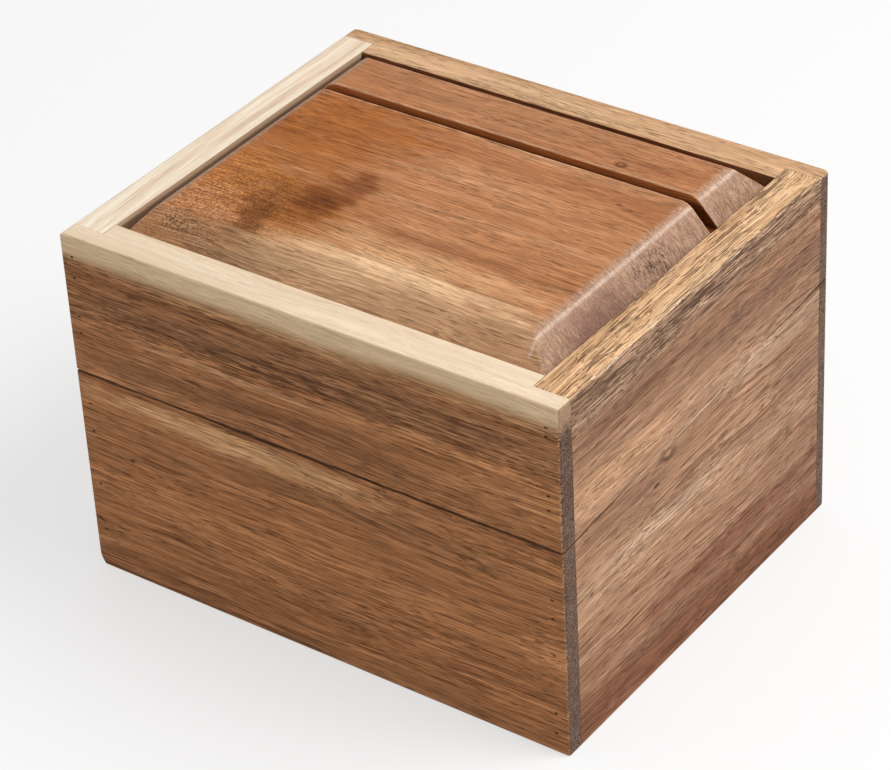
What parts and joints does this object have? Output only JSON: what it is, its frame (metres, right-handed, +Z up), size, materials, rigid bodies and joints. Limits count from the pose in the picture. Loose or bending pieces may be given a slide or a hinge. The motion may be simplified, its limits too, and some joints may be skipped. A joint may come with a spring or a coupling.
{
  "type": "recipe box",
  "caption": "Wooden recipe box with a slanted sawn parting line, a hinged lid with a raised panel and a card slot across it.",
  "frame": {"origin": "middle of the flat underside that the box rests on", "axes": "+X to the right along the front board, +Y to the back where the hinges are, +Z up"},
  "size_m": [0.1842, 0.158, 0.133],
  "materials": {
    "board_wood": "satin",
    "panel_wood": "satin",
    "bottom_wood": "matte",
    "brad_steel": "matte",
    "hinge_brass": "satin"
  },
  "bodies": {
    "base": {"base_front_board": "board_wood", "base_back_board": "board_wood", "base_left_board": "board_wood", "base_right_board": "board_wood", "base_bottom_panel": "bottom_wood", "base_front_brads": "brad_steel", "base_back_brads": "brad_steel", "bottom_panel_brads": "brad_steel", "base_hinge_leaf_left": "hinge_brass", "base_hinge_leaf_right": "hinge_brass", "hinge_pin_left": "hinge_brass", "hinge_pin_right": "hinge_brass", "base_leaf_screws": "hinge_brass"},
    "lid": {"lid_front_board": "board_wood", "lid_back_board": "board_wood", "lid_left_board": "board_wood", "lid_right_board": "board_wood", "lid_raised_panel": "panel_wood", "lid_front_brads": "brad_steel", "lid_back_brads": "brad_steel", "lid_hinge_leaf_left": "hinge_brass", "lid_hinge_leaf_right": "hinge_brass", "lid_leaf_screws": "hinge_brass"}
  },
  "joints": [
    {"name": "lid_hinge", "type": "hinge", "parent": "base", "child": "lid", "pos_m": [0, 0.07849, 0.08909], "axis": [-1, 0, 0], "range_deg": [0, 95]}
  ]
}
